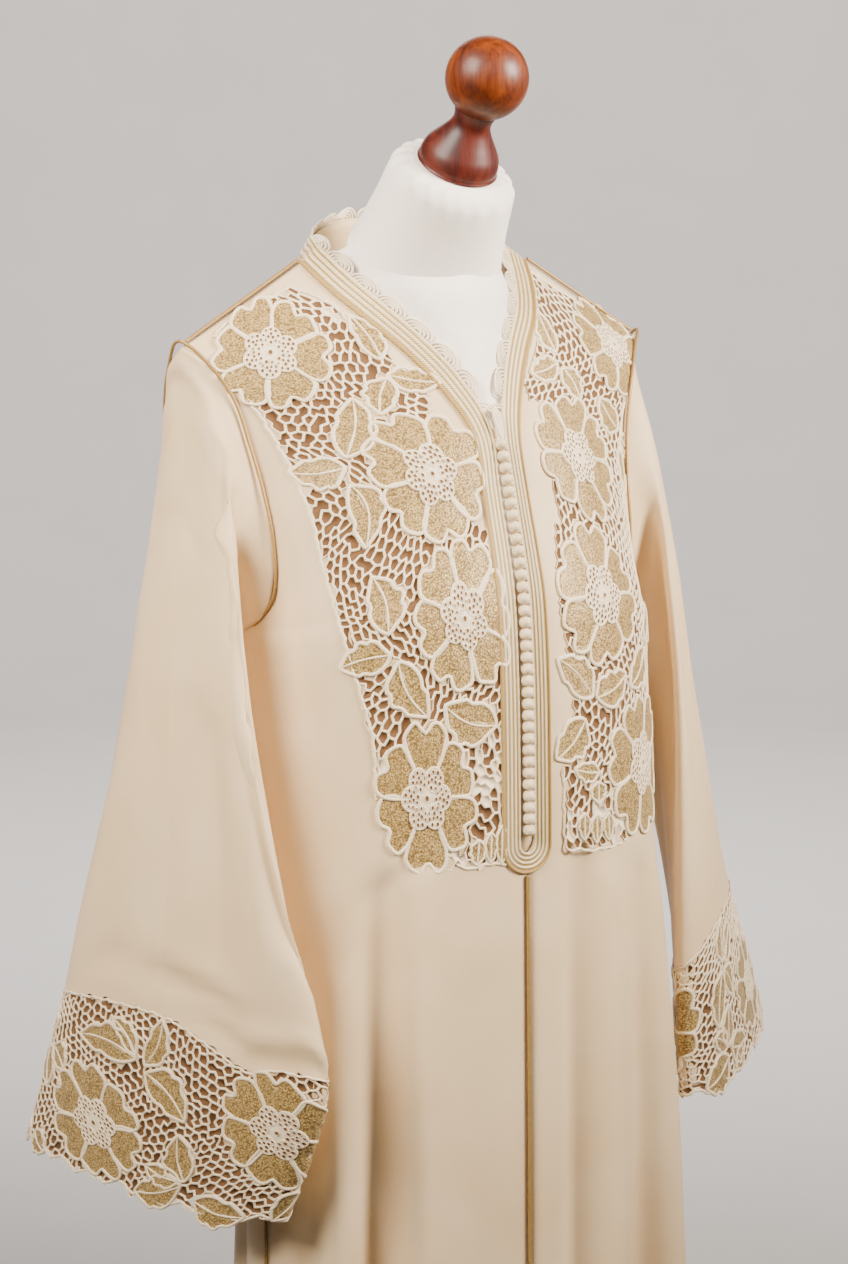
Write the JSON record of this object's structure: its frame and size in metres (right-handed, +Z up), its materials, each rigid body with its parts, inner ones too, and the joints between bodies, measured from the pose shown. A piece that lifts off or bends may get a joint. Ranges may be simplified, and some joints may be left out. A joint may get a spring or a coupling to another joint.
{
  "type": "kaftan on dress form",
  "caption": "Floor-length long-sleeved kaftan with lace yoke panels, braided V neck and corded front, worn on a limbless dress form.",
  "frame": {"origin": "centre of the stand base's underside, on the floor, under the form's pole", "axes": "+Z up, -Y the way the kaftan faces, +X the wearer's left"},
  "size_m": [0.6119, 0.3456, 1.6404],
  "materials": {
    "crepe": "cream crepe, soft sheen",
    "lace": "cream and gold guipure lace",
    "braid": "cream ribs edged with gold thread",
    "scallop": "looped cream cord",
    "button_stand": "cream loop tape",
    "button": "knotted silk cord",
    "piping": "twisted gold cord",
    "jersey": "white cotton jersey",
    "knob_wood": "satin varnish",
    "stand_wood": "satin varnish"
  },
  "bodies": {
    "root": {"front_right": "crepe", "lace_panel_right": "lace", "front_left": "crepe", "lace_panel_left": "lace", "back": "crepe", "sleeve_right": "crepe", "cuff_lace_right": "lace", "sleeve_left": "crepe", "cuff_lace_left": "lace", "braid": "braid", "scallop_trim": "scallop", "button_stand": "button_stand", "button_01": "button", "button_02": "button", "button_03": "button", "button_04": "button", "button_05": "button", "button_06": "button", "button_07": "button", "button_08": "button", "button_09": "button", "button_10": "button", "button_11": "button", "button_12": "button", "button_13": "button", "button_14": "button", "button_15": "button", "button_16": "button", "button_17": "button", "button_18": "button", "button_19": "button", "button_20": "button", "button_21": "button", "button_22": "button", "button_23": "button", "button_24": "button", "button_25": "button", "button_26": "button", "button_27": "button", "button_28": "button", "button_29": "button", "button_30": "button", "button_31": "button", "button_32": "button", "button_33": "button", "button_34": "button", "shoulder_piping_right": "piping", "armhole_piping_right": "piping", "side_piping_right": "piping", "shoulder_piping_left": "piping", "armhole_piping_left": "piping", "side_piping_left": "piping", "centre_piping": "piping", "form_body": "jersey", "finial_knob": "knob_wood", "stand_base": "stand_wood", "stand_pole": "stand_wood"}
  },
  "joints": []
}
